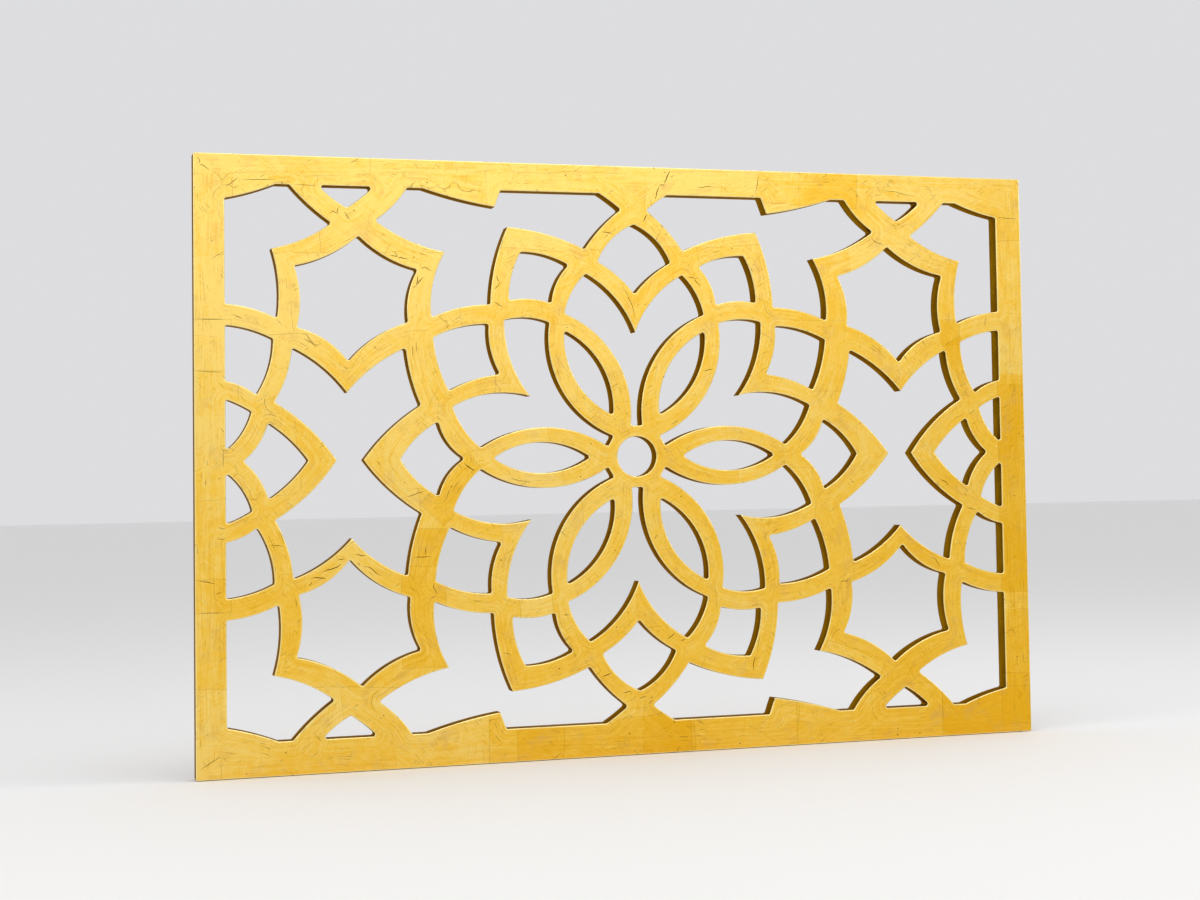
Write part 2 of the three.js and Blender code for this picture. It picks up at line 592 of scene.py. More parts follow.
@dataclass
class Board:
    """The one board of the screen, with its eased edges and the slight swell of its gilded face."""

    strapwork: Strapwork = field(default_factory=Strapwork)
    thickness: float = 19.0
    rim_side: float = 29.0
    rim_top: float = 28.5
    rim_bottom: float = 33.0
    corner_radius: float = 1.5
    front_ease: float = 1.0
    back_ease: float = 0.5
    border: float = 0.45
    swell: float = 0.22
    face_step: float = 4.0
    face_shake: float = 0.5
    face_gap: float = 0.9
    line_gap: float = 50.0
    probe_step: float = 1.5
    crack_depth: float = 0.3
    crack_width: float = 0.35
    crack_lip: float = 0.25
    crack_gap: float = 1.4
    crack_shore: float = 1.0
    cracks: tuple[Crack, ...] = ()
    seed: int = 7

    def __post_init__(self) -> None:
        """Cut every line of the board, its own edge first."""
        right = self.strapwork.half_width + self.rim_side
        top = self.strapwork.half_height + self.rim_top
        bottom = -self.strapwork.half_height - self.rim_bottom
        edge = [(right, bottom, 0), (right, top, 0), (-right, top, 0), (-right, bottom, 0)]
        cutter = Cutter(radius=self.corner_radius)
        self.lines = [CutLine.round_ring(edge, cutter, wood_on_left=True)] + self.strapwork.cut_lines()
        self.hub_height = -self.strapwork.half_height - self.rim_top / 2
        self.draft = MeshDraft()

    def profile(self) -> list[tuple[float, float, Surface, float]]:
        """Lay out the rows of the eased edges and the walls.

        Returns:
            The rows from front to back, each as its inset, its depth, the finish behind it and how much
            painted highlight it gets.
        """
        ease, deep = self.front_ease, self.thickness
        rows = [(ease + self.border, 0.0, Surface.GILDED_FACE, 0.0)]
        # The front ease gets a painted highlight, strongest halfway round its curve.
        for i, highlight in enumerate((0.35, 0.8, 1.0, 0.9, 0.5)):
            angle = math.radians(22.5 * i)
            surface = Surface.GILDED_FACE if i < 4 else Surface.CUT_EDGE
            rows.append((ease * (1 - math.sin(angle)), ease * (1 - math.cos(angle)), surface, highlight))
        for share in (0.3, 0.65):
            rows.append((0.0, deep * share, Surface.CUT_EDGE, 0.0))
        for degrees in (0, 45, 90):
            angle = math.radians(degrees)
            inset = self.back_ease * (1 - math.cos(angle))
            depth = deep - self.back_ease * (1 - math.sin(angle))
            surface = Surface.CUT_EDGE if degrees < 90 else Surface.SEALED_BACK
            rows.append((inset, depth, surface, 0.0))
        rows.append((self.back_ease + self.border, deep, Surface.SEALED_BACK, 0.0))
        return rows

    def hollow(self, point: complex) -> float:
        """Let three long waves swell the gilded face.

        Args:
            point: A point of the pattern.

        Returns:
            How far the face lies behind its highest plane there.
        """
        x, z = point.real, point.imag
        wave = math.sin(x / 31 + 1.3 * math.sin(z / 47)) + math.sin(z / 27 + 1.1 * math.sin(x / 53 + 2))
        wave += 0.7 * math.sin((x + z) / 13 + 1.7 * math.sin((x - z) / 37))
        return self.swell * (0.5 + wave / 5.4)

    def place(self, point: complex, depth: float) -> int:
        """Add a vertex.

        Args:
            point: Its place in the pattern.
            depth: Its depth behind the face.

        Returns:
            Its number.
        """
        front = 1 - depth / self.thickness
        y = -self.thickness + depth + self.hollow(point) * front
        self.draft.points.append((point.real, y, point.imag + self.hub_height))
        return len(self.draft.points) - 1

    def build_edges(self) -> tuple[list[list[int]], list[list[int]]]:
        """Make the eased edges and the walls along every cut line.

        Returns:
            The vertices of the front border of each line, and those of the back border.
        """
        rows = self.profile()
        fronts, backs = [], []
        along = 0.0
        for line in self.lines:
            into, lengths = line.into_wood(), line.lengths() + along
            along = lengths[-1] + self.line_gap
            made = []
            across = [0.0]
            for (inset, depth, _, _), (inset_2, depth_2, _, _) in zip(rows, rows[1:]):
                across.append(across[-1] + math.hypot(inset_2 - inset, depth_2 - depth))
            for inset, depth, _, highlight in rows:
                made.append([self.place(p, depth) for p in line.points + into * inset])
                # painted highlight: each row of the front ease keeps its share of the pale rim colour
                if highlight:
                    self.draft.rim_highlight.update(dict.fromkeys(made[-1], highlight))
            n = len(line.points)
            for r, (_, _, surface, _) in enumerate(rows[:-1]):
                for i in range(n):
                    j = (i + 1) % n
                    corners = (made[r][i], made[r][j], made[r + 1][j], made[r + 1][i])
                    grain = [
                        (lengths[i], across[r]),
                        (lengths[i + 1], across[r]),
                        (lengths[i + 1], across[r + 1]),
                        (lengths[i], across[r + 1]),
                    ]
                    if line.wood_on_left:
                        corners, grain = corners[::-1], grain[::-1]
                    self.draft.add_face(corners, surface, grain)
            fronts.append(made[0])
            backs.append(made[-1])
        return fronts, backs

    def in_wood(self, points: np.ndarray, loops: list[np.ndarray] | None = None) -> np.ndarray:
        """Tell which points lie in the wood, by counting the lines to their right.

        Args:
            points: Points of the pattern.
            loops: The closed lines to count, or none for the cut lines.

        Returns:
            True for each point in the wood.
        """
        inside = np.zeros(len(points), dtype=bool)
        for loop in loops or [line.points for line in self.lines]:
            for a, b in zip(loop, np.roll(loop, -1)):
                if a.imag == b.imag:
                    continue
                level = (a.imag > points.imag) != (b.imag > points.imag)
                crossing = a.real + (b.real - a.real) * (points.imag - a.imag) / (b.imag - a.imag)
                inside ^= level & (points.real < crossing)
        return inside

    def edge_tree(self) -> tuple[kdtree.KDTree, np.ndarray, np.ndarray, np.ndarray]:
        """Gather the points of every line for a nearest search.

        Returns:
            The search tree, the points, the way along the line at each and the length along it.
        """
        points, ways, lengths = [], [], []
        along = 0.0
        for line in self.lines:
            measured = line.lengths()
            edges = np.roll(line.points, -1) - line.points
            for a, edge, start in zip(line.points, edges, measured[:-1]):
                count = max(1, round(abs(edge) / self.probe_step))
                for k in range(count):
                    points.append(a + edge * (k + 0.5) / count)
                    ways.append(edge / abs(edge))
                    lengths.append(along + start + abs(edge) * (k + 0.5) / count)
            along += measured[-1] + self.line_gap
        tree = kdtree.KDTree(len(points))
        for i, point in enumerate(points):
            tree.insert((point.real, point.imag, 0), i)
        tree.balance()
        return tree, np.array(points), np.array(ways), np.array(lengths)

    def face_points(self, tree: kdtree.KDTree) -> list[complex]:
        """Spread points over the gilded face.

        Args:
            tree: The search tree of the cut lines.

        Returns:
            The points, clear of the eased edges.
        """
        dice = random.Random(self.seed)
        outer = self.lines[0].points
        spread = []
        clear = self.front_ease + self.border + self.face_gap
        z = outer.imag.min() + clear
        row = 0
        while z < outer.imag.max() - clear:
            x = outer.real.min() + clear + (self.face_step / 2 if row % 2 else 0)
            while x < outer.real.max() - clear:
                shake_x = dice.uniform(-self.face_shake, self.face_shake)
                shake_z = dice.uniform(-self.face_shake, self.face_shake)
                spread.append(complex(x + shake_x, z + shake_z))
                x += self.face_step
            z += self.face_step * 0.87
            row += 1
        points = np.array(spread)
        points = points[self.in_wood(points)]
        return [complex(p) for p in points if tree.find((p.real, p.imag, 0))[2] > clear]

    def crack_lines(self, tree: kdtree.KDTree) -> list[list[tuple[complex, float]]]:
        """Lay out the cracks, each as its centre line and half width at every point.

        Args:
            tree: The search tree of the cut lines.

        Returns:
            The cracks, ended where they come to an edge.
        """
        dice = random.Random(self.seed + 1)
        laid = []
        clear = self.front_ease + self.border + self.crack_shore
        for crack in self.cracks:
            line = crack.centre_line(dice)
            kept: list[complex] = []
            for point, inside in zip(line, self.in_wood(np.array(line))):
                if inside and tree.find((point.real, point.imag, 0))[2] > clear:
                    kept.append(point)
                elif kept:
                    break
            if len(kept) < 4:
                continue
            n = len(kept) - 1
            widths = [crack.half_width * min(1, 0.25 + 2.2 * min(i, n - i) / n) for i in range(n + 1)]
            laid.append(list(zip(kept, widths)))
        return laid

    def build_face(self, border: list[list[int]]) -> None:
        """Fill the gilded face between the borders of the cut lines, with its cracks.

        Args:
            border: The vertices of the front border of each line.
        """
        tree, edge_points, edge_ways, edge_lengths = self.edge_tree()
        numbers: list[int] = []
        flat: list[complex] = []
        edges: list[tuple[int, int]] = []

        def put(point: complex, number: int) -> int:
            """Add a point to the plan.

            Args:
                point: Its place in the pattern.
                number: The vertex that it stands for.

            Returns:
                Its index in the plan.
            """
            flat.append(point)
            numbers.append(number)
            return len(flat) - 1

        loops = self.plan_of(border)
        for loop, plan in zip(border, loops):
            first = len(flat)
            for number, point in zip(loop, plan):
                put(complex(point), number)
            edges += [(first + i, first + (i + 1) % len(loop)) for i in range(len(loop))]
        taken = []
        for crack in self.crack_lines(tree):
            last = len(crack) - 1
            ends = [put(point, self.place(point, 0)) for point, _ in (crack[0], crack[-1])]
            rails: list[list[int]] = [[], [], [], [], []]
            for i, (point, width) in enumerate(crack):
                taken.append(point)
                if i in (0, last):
                    continue
                way = 1j * (crack[i + 1][0] - crack[i - 1][0])
                way /= abs(way)
                lip = width + self.crack_lip
                for rail, offset in zip(rails, (-lip, -width, 0, width, lip)):
                    moved = point + way * offset
                    depth = 0 if offset else self.crack_depth * width / self.crack_width
                    number = self.place(moved, depth)
                    self.draft.crack[number] = 0.0 if offset else 1.0
                    rail.append(put(moved, number))
            for rail in rails:
                edges += list(zip([ends[0]] + rail, rail + [ends[1]]))
        shy = kdtree.KDTree(max(1, len(taken)))
        for i, point in enumerate(taken):
            shy.insert((point.real, point.imag, 0), i)
        shy.balance()
        for point in self.face_points(tree):
            if not taken or shy.find((point.real, point.imag, 0))[2] > self.crack_gap:
                put(point, self.place(point, 0))
        found, triangles = self.triangulate(flat, edges, numbers, loops)
        for corners, middle in triangles:
            nearest = tree.find((middle.real, middle.imag, 0))[1]
            start, way, length = edge_points[nearest], edge_ways[nearest], edge_lengths[nearest]
            grain = []
            for corner in corners:
                offset = (found[corner] - start) * way.conjugate()
                grain.append((length + offset.real, abs(offset.imag)))
            self.draft.add_face(corners, Surface.GILDED_FACE, grain)

    def plan_of(self, border: list[list[int]]) -> list[np.ndarray]:
        """Return the places in the pattern of each loop of vertices."""
        places = [complex(x, z - self.hub_height) for x, _, z in self.draft.points]
        return [np.array([places[i] for i in loop]) for loop in border]

    def build_back(self, border: list[list[int]]) -> None:
        """Fill the flat back between the borders of the cut lines.

        Args:
            border: The vertices of the back border of each line.
        """
        flat, numbers, edges = [], [], []
        loops = self.plan_of(border)
        for loop, plan in zip(border, loops):
            first = len(flat)
            flat += [complex(point) for point in plan]
            numbers += loop
            edges += [(first + i, first + (i + 1) % len(loop)) for i in range(len(loop))]
        found, triangles = self.triangulate(flat, edges, numbers, loops, depth=self.thickness)
        for corners, _ in triangles:
            grain = [(found[c].real, found[c].imag) for c in corners]
            self.draft.add_face(corners[::-1], Surface.SEALED_BACK, grain[::-1])

    def triangulate(
        self,
        flat: list[complex],
        edges: list[tuple[int, int]],
        numbers: list[int],
        loops: list[np.ndarray],
        depth: float = 0.0,
    ) -> tuple[dict[int, complex], list[tuple[tuple[int, ...], complex]]]:
        """Join points of the plan into triangles that keep the given edges.

        Args:
            flat: The points.
            edges: The edges to keep, as pairs of indices.
            numbers: The vertex that each point stands for.
            loops: The closed lines that bound the part to fill.
            depth: The depth behind the face of a point that has to be added where two edges cross.

        Returns:
            The place of each vertex, and the triangles in the wood, anticlockwise, with their middles.
        """
        plan = [Vector((p.real, p.imag)) for p in flat]
        made, _, faces, origins, _, _ = delaunay_2d_cdt(plan, edges, [], 0, 1e-4, True)
        vertex, found = [], {}
        for point, origin in zip(made, origins):
            place = complex(point.x, point.y)
            number = numbers[origin[0]] if origin else self.place(place, depth)
            vertex.append(number)
            found[number] = place
        corners = np.array([[complex(made[i].x, made[i].y) for i in face] for face in faces])
        middles = corners.mean(axis=1)
        turns = ((corners[:, 1] - corners[:, 0]).conjugate() * (corners[:, 2] - corners[:, 0])).imag
        triangles = []
        for face, middle, turn, kept in zip(faces, middles, turns, self.in_wood(middles, loops)):
            if kept and abs(turn) > 1e-9:
                order = face if turn > 0 else face[::-1]
                triangles.append((tuple(vertex[i] for i in order), complex(middle)))
        return found, triangles

    def build(self, finishes: list[Finish]) -> bpy.types.Object:
        """Make the board and dress it.

        Args:
            finishes: The finishes in the order of Surface.

        Returns:
            The board.
        """
        fronts, backs = self.build_edges()
        self.build_face(fronts)
        self.build_back(backs)
        made = self.draft.build("gilded_board")
        for finish in finishes:
            made.data.materials.append(finish.material())
        return made


class NodeSheet:
    """A material's nodes, with short ways to add and join them."""

    def __init__(self, name: str) -> None:
        """Start a material.

        Args:
            name: The finish's name.
        """
        self.made = bpy.data.materials.new(name)
        self.made.use_nodes = True
        self.tree = self.made.node_tree
        self.shader = self.tree.nodes["Principled BSDF"]

    def add(
        self, kind: str, sources: dict[str | int, Source] | None = None, **settings: object
    ) -> bpy.types.Node:
        """Add a node.

        Args:
            kind: The node's type, without its prefix.
            sources: What goes into its sockets, by name or number: a value or another node's output.
            settings: The node's own settings.

        Returns:
            The node.
        """
        node = self.tree.nodes.new("ShaderNode" + kind)
        for key, value in settings.items():
            setattr(node, key, value)
        for key, value in (sources or {}).items():
            self.feed(node.inputs[key], value)
        return node

    def feed(self, socket: bpy.types.NodeSocket, value: Source) -> None:
        """Link an output to a socket, or set the socket's value.

        Args:
            socket: The socket.
            value: The output or the value.
        """
        if isinstance(value, bpy.types.NodeSocket):
            self.tree.links.new(value, socket)
        else:
            socket.default_value = value

    def math(self, operation: str, *values: Source) -> bpy.types.NodeSocket:
        """Return the result of a sum on values or outputs."""
        return self.add("Math", dict(enumerate(values)), operation=operation).outputs[0]

    def vector(self, operation: str, *values: Source) -> bpy.types.NodeSocket:
        """Return the result of a sum on vectors."""
        return self.add("VectorMath", dict(enumerate(values)), operation=operation).outputs[0]

    def total(self, base: float, parts: list[tuple[Source, float]]) -> bpy.types.NodeSocket:
        """Add up shades, each of them between 0 and 1 and even at 0.5.

        Args:
            base: The sum when every shade is even.
            parts: The shades and their weights.

        Returns:
            The sum.
        """
        result: Source = base - sum(weight for _, weight in parts) / 2
        for value, weight in parts:
            result = self.math("MULTIPLY_ADD", value, weight, result)
        return result

    def strongest(self, parts: list[tuple[Source, float]]) -> bpy.types.NodeSocket:
        """Lay marks over each other.

        Args:
            parts: The marks and their strengths.

        Returns:
            At each place the strongest mark.
        """
        result: Source = 0.0
        for value, strength in parts:
            result = self.math("MAXIMUM", self.math("MULTIPLY", value, strength), result)
        return result

    def mix(self, share: Source, a: Source, b: Source) -> bpy.types.NodeSocket:
        """Mix two colours.

        Args:
            share: How much of the second.
            a: The first colour.
            b: The second colour.

        Returns:
            The mixed colour.
        """
        node = self.add("Mix", data_type="RGBA", clamp_factor=True)
        for socket, value in ((0, share), (6, a), (7, b)):
            self.feed(node.inputs[socket], value)
        return node.outputs[2]

    def span(
        self, value: Source, low: float, high: float, start: float = 0, end: float = 1
    ) -> bpy.types.NodeSocket:
        """Return a value moved from one range to another, and kept in it."""
        sources = {0: value, 1: low, 2: high, 3: start, 4: end}
        return self.add("MapRange", sources, clamp=True).outputs[0]

    def place(self) -> bpy.types.NodeSocket:
        """Return the place on the board."""
        return self.add("TexCoord").outputs["Object"]

    def plan(self) -> bpy.types.NodeSocket:
        """Return the place on the face, as x and z."""
        parts = self.add("SeparateXYZ", {0: self.place()}).outputs
        return self.add("CombineXYZ", {0: parts[0], 1: parts[2]}).outputs[0]

    def grain(self) -> bpy.types.NodeSocket:
        """Return the place along and across the strap, in decimetres."""
        return self.add("UVMap", uv_map="grain").outputs[0]

    def attribute(self, name: str) -> bpy.types.NodeSocket:
        """Return a value that the mesh keeps at its points."""
        return self.add("Attribute", attribute_name=name).outputs["Fac"]

    def lay(
        self,
        vector: Source,
        size: tuple[float, float],
        turn: float = 0.0,
        centre: tuple[float, float] = (0.0, 0.0),
    ) -> bpy.types.NodeSocket:
        """Return a place as seen from a rectangle that is laid on the face.

        Args:
            vector: The place.
            size: The length and width that become 1.
            turn: The rectangle's turn, in degrees.
            centre: Its centre.

        Returns:
            The place in the rectangle.
        """
        sources = {
            "Vector": vector,
            "Location": (*centre, 0.0),
            "Rotation": (0.0, 0.0, math.radians(turn)),
            "Scale": (*size, 1.0),
        }
        return self.add("Mapping", sources, vector_type="TEXTURE").outputs[0]

    def noise(
        self, vector: Source, scale: float = 1.0, detail: float = 3.0, rough: float = 0.55
    ) -> bpy.types.NodeSocket:
        """Return a soft noise between 0 and 1."""
        sources = {"Vector": vector, "Scale": scale, "Detail": detail, "Roughness": rough}
        return self.add("TexNoise", sources).outputs["Fac"]

    def shaken(self, vector: Source, scale: float, reach: float) -> bpy.types.NodeSocket:
        """Shake a place, so that straight lines laid on it waver.

        Args:
            vector: The place.
            scale: How fine the shake is.
            reach: How far it goes.

        Returns:
            The shaken place.
        """
        shake = self.add("TexNoise", {"Vector": vector, "Scale": scale, "Detail": 3.0}).outputs["Color"]
        middle = self.vector("SUBTRACT", vector, (reach / 2, reach / 2, 0.0))
        return self.vector("MULTIPLY_ADD", shake, (reach, reach, 0.0), middle)

    def relief(self, height: Source, strength: float, depth: float) -> None:
        """Give the surface a fine relief.

        Args:
            height: The relief's height.
            strength: How strongly it shows.
            depth: Its depth in metres.
        """
        bump = self.add("Bump", {"Height": height, "Strength": strength, "Distance": depth})
        self.feed(self.shader.inputs["Normal"], bump.outputs[0])


class Finish:
    """A finish of the board."""

    def material(self) -> bpy.types.Material:
        """Return the finish's material."""
        raise NotImplementedError


@dataclass(frozen=True)
class LeafPiece:
    """A piece of leaf of its own shade, with its centre, turn, half length and half width."""

    x: float
    z: float
    turn: float
    half_length: float
    half_width: float
    shade: float

    def cover(self, sheet: NodeSheet, plan: Source) -> tuple[bpy.types.NodeSocket, bpy.types.NodeSocket]:
        """Find where the piece lies.

        Args:
            sheet: The material's nodes.
            plan: The place on the face.

        Returns:
            1 inside the piece and 0 outside, and the line of its edge.
        """
        laid = sheet.lay(plan, (MM, MM), self.turn, (MM * self.x, MM * self.z + HUB_HEIGHT))
        half = (self.half_length, self.half_width, 0.0)
        past = sheet.vector("SUBTRACT", sheet.vector("ABSOLUTE", laid), half)
        parts = sheet.add("SeparateXYZ", {0: past}).outputs
        beyond = sheet.math("MAXIMUM", parts[0], parts[1])
        return sheet.span(beyond, -1.5, 0.3, 1, 0), sheet.math("COMPARE", beyond, -0.3, 0.4)


@dataclass(frozen=True)
class LeafTone:
    """How far the leaf goes from pale to deep, and what makes it do so."""

    middle: float = 0.39
    # painted light: the weight of a falloff that makes the upper left paler and the lower right deeper
    slope: float = 0.6
    squares: float = 0.20
    clouds: float = 0.7
    broad: float = 0.5
    along: float = 1.25
    brushed: float = 0.85
    mottle: float = 0.55
    pale_end: float = 0.12
    full_leaf: float = 0.5
    deep_end: float = 0.95


@dataclass(frozen=True)
class LeafMarks:
    """How strongly each kind of mark shows in the leaf."""

    hairs: float = 0.35
    scratches: float = 0.6
    specks: float = 0.8
    laps: float = 0.22
    piece_edges: float = 0.8
    splits: float = 0.92
    # painted highlight: how strongly the pale rim colour shows along the eased edges
    rim_highlight: float = 0.85
    worn: float = 0.6


@dataclass(frozen=True)
class GoldLeaf(Finish):
    """Metal leaf laid in squares, brushed down along the straps, with laps, splits and specks."""

    pale: Colour = (0.95, 0.675, 0.17, 1)
    full: Colour = (0.92, 0.565, 0.062, 1)
    deep: Colour = (0.84, 0.45, 0.018, 1)
    worn: Colour = (0.68, 0.41, 0.12, 1)
    split: Colour = (0.10, 0.05, 0.008, 1)
    # rim: a painted highlight, the pale colour laid along the eased edges
    rim: Colour = (1.0, 0.88, 0.42, 1)
    glint: Colour = (1.0, 0.86, 0.45, 1)
    square: float = 0.083
    lap: float = 0.0004
    stroke: tuple[float, float] = (0.030, 0.0015)
    tone: LeafTone = LeafTone()
    marks: LeafMarks = LeafMarks()
    pieces: tuple[LeafPiece, ...] = ()

    def squares(self, sheet: NodeSheet, place: Source, turn: float, start: float) -> tuple[Source, Source]:
        """Lay squares of leaf.

        Args:
            sheet: The material's nodes.
            place: The place on the face.
            turn: How far the squares are turned, in degrees.
            start: Where the first one lies.

        Returns:
            A shade for each square, and the line where squares lap.
        """
        sources = {
            "Vector": sheet.lay(place, (1, 1), turn, (start, start * 0.7)),
            "Color1": (0, 0, 0, 1),
            "Color2": (1, 1, 1, 1),
            "Mortar": (0.5, 0.5, 0.5, 1),
            "Scale": 1.0,
            "Mortar Size": self.lap,
            "Mortar Smooth": 0.4,
            "Bias": 0.0,
            "Brick Width": self.square,
            "Row Height": self.square * 0.94,
        }
        brick = sheet.add("TexBrick", sources, offset=0.37, offset_frequency=2, squash=1.0)
        return brick.outputs["Color"], brick.outputs["Fac"]

    def leaf_laid(self, sheet: NodeSheet, plan: Source) -> tuple[Source, Source]:
        """Lay one coat of squares over the face, and patch it with a second at another angle.

        Args:
            sheet: The material's nodes.
            plan: The place on the face.

        Returns:
            A shade for each square, and the laps where they show.
        """
        place = sheet.shaken(plan, 14.0, 0.014)
        shade, laps = self.squares(sheet, place, 2.0, 0.013)
        shade_b, laps_b = self.squares(sheet, place, -31.0, 0.041)
        patchy = sheet.span(sheet.noise(sheet.lay(plan, (1, 1), 0, (3.1, 2.2)), 9.0, 2.0), 0.5, 0.62)
        shade = sheet.mix(sheet.math("MULTIPLY", patchy, 0.75), shade, shade_b)
        laps = sheet.strongest([(laps, 1.0), (sheet.math("MULTIPLY", laps_b, patchy), 1.0)])
        where = sheet.span(sheet.noise(plan, 30.0, 2.0), 0.42, 0.6)
        return shade, sheet.math("MULTIPLY", laps, where)

    def brushing(self, sheet: NodeSheet, plan: Source) -> bpy.types.NodeSocket:
        """Brush each patch of leaf its own way.

        Args:
            sheet: The material's nodes.
            plan: The place on the face.

        Returns:
            The strokes.
        """
        patch = sheet.add("TexVoronoi", {"Vector": sheet.shaken(plan, 20.0, 0.04), "Scale": 19.0})
        lot = sheet.add("SeparateColor", {0: patch.outputs["Color"]}).outputs[0]
        strokes = sheet.noise(sheet.lay(plan, self.stroke, 24), 1.0, 5.0, 0.68)
        for turn, share in ((78, 0.34), (-38, 0.67)):
            laid = sheet.noise(sheet.lay(plan, self.stroke, turn), 1.0, 5.0, 0.68)
            strokes = sheet.mix(sheet.math("GREATER_THAN", lot, share), strokes, laid)
        return strokes

    def hairs(self, sheet: NodeSheet, plan: Source) -> bpy.types.NodeSocket:
        """Break the leaf here and there into fine crazing.

        Args:
            sheet: The material's nodes.
            plan: The place on the face.

        Returns:
            The hairlines.
        """
        cell = {"Vector": sheet.shaken(plan, 55.0, 0.022), "Scale": 30.0}
        cell = sheet.add("TexVoronoi", cell, feature="DISTANCE_TO_EDGE").outputs["Distance"]
        where = sheet.noise(sheet.lay(plan, (1, 1), 0, (0.31, 0.7)), 19.0)
        return sheet.math("MULTIPLY", sheet.span(cell, 0.005, 0.016, 1, 0), sheet.span(where, 0.60, 0.66))

    def scratches(self, sheet: NodeSheet, plan: Source, grain: Source) -> bpy.types.NodeSocket:
        """Draw short scratches along the straps and across them.

        Args:
            sheet: The material's nodes.
            plan: The place on the face.
            grain: The place along and across the strap.

        Returns:
            The scratches.
        """
        ways = [(grain, (0.19, 0.0125), 0), (plan, (0.016, 0.0011), 33), (plan, (0.013, 0.0010), -52)]
        found = []
        for i, (base, size, turn) in enumerate(ways):
            line = sheet.noise(sheet.lay(base, size, turn, (0.13 * i, 0.21)), 1.0, 2.0)
            where = sheet.noise(sheet.lay(plan, (1, 1), 0, (0.5 * i + 0.2, 0.9)), 24.0, 2.0)
            drawn = sheet.math("MULTIPLY", sheet.span(line, 0.64, 0.70), sheet.span(where, 0.50, 0.58))
            found.append((drawn, 1.0))
        return sheet.strongest(found)

    def specks(self, sheet: NodeSheet, plan: Source) -> bpy.types.NodeSocket:
        """Prick the leaf with a few pinholes, each about a millimetre wide.

        Args:
            sheet: The material's nodes.
            plan: The place on the face.

        Returns:
            The pinholes.
        """
        spot = sheet.add("TexVoronoi", {"Vector": plan, "Scale": 85.0})
        lot = sheet.add("SeparateColor", {0: spot.outputs["Color"]}).outputs[0]
        hole = sheet.span(spot.outputs["Distance"], 0.04, 0.08, 1, 0)
        return sheet.math("MULTIPLY", hole, sheet.math("GREATER_THAN", lot, 0.80))

    def material(self) -> bpy.types.Material:
        """Mix the leaf, with its shade, a painted falloff of light across the face, its marks, a painted
        highlight along the eased edges and its brushed gloss.

        Returns:
            The material.
        """
        sheet, tone, marks = NodeSheet("gold_leaf"), self.tone, self.marks
        plan, grain = sheet.plan(), sheet.grain()
        shade, laps = self.leaf_laid(sheet, plan)
        clouds = sheet.noise(plan, 7.0)
        along = sheet.noise(sheet.lay(grain, (0.4, 0.018)), 1.0, 5.0, 0.68)
        broad = sheet.noise(sheet.lay(grain, (0.9, 0.06), 0, (0.4, 0.5)))
        mottle = sheet.noise(plan, 110.0, 5.0, 0.65)
        brushed = self.brushing(sheet, plan)
        # painted light: the leaf is painted paler towards the upper left and deeper towards the lower
        # right, as the light falls off
        slope = sheet.add("SeparateXYZ", {0: sheet.lay(plan, (1.24, 0.46), 0, (0.0, -0.286))}).outputs
        slope = sheet.math("MULTIPLY_ADD", sheet.math("SUBTRACT", slope[0], slope[1]), 0.5, 0.5)

        parts = [
            (slope, tone.slope),
            (shade, tone.squares),
            (clouds, tone.clouds),
            (broad, tone.broad),
            (along, tone.along),
            (brushed, tone.brushed),
            (mottle, tone.mottle),
        ]
        depth = sheet.total(tone.middle, parts)
        drift = sheet.shaken(plan, 25.0, 0.005)
        for piece in self.pieces:
            inside, edge = piece.cover(sheet, drift)
            depth = sheet.math("MULTIPLY_ADD", inside, piece.shade, depth)
            laps = sheet.strongest([(edge, marks.piece_edges), (laps, 1.0)])
        colour = sheet.mix(sheet.span(depth, tone.pale_end, tone.full_leaf), self.pale, self.full)
        colour = sheet.mix(sheet.span(depth, tone.full_leaf, tone.deep_end), colour, self.deep)
        worn = sheet.total(0.5, [(along, 1.0), (sheet.noise(plan, 42.0, 4.0, 0.6), 1.4)])
        colour = sheet.mix(sheet.span(worn, 0.56, 0.92, 0, marks.worn), colour, self.worn)
        # painted highlight: the eased edges are turned towards the pale rim colour
        colour = sheet.mix(sheet.math("MULTIPLY", sheet.attribute("rim_highlight"), marks.rim_highlight), colour, self.rim)

        hairs = self.hairs(sheet, plan)
        found = [
            (hairs, marks.hairs),
            (self.scratches(sheet, plan, grain), marks.scratches),
            (self.specks(sheet, plan), marks.specks),
            (laps, marks.laps),
            (sheet.span(sheet.attribute("crack"), 0.02, 0.35), marks.splits),
        ]
        broken = sheet.strongest(found)
        sheet.feed(sheet.shader.inputs["Base Color"], sheet.mix(broken, colour, self.split))
        rough = sheet.total(0.36, [(clouds, 0.12), (along, 0.14), (brushed, 0.16)])
        sheet.feed(sheet.shader.inputs["Roughness"], sheet.math("MULTIPLY_ADD", broken, 0.3, rough))
        ridges = [(along, 0.5), (brushed, 0.6), (mottle, 0.4), (laps, -0.6), (hairs, -0.8)]
        sheet.relief(sheet.total(0.0, ridges), 0.4, RELIEF_DEPTH)
        sheet.shader.inputs["Metallic"].default_value = 1.0
        sheet.shader.inputs["Specular Tint"].default_value = self.glint
        return sheet.made


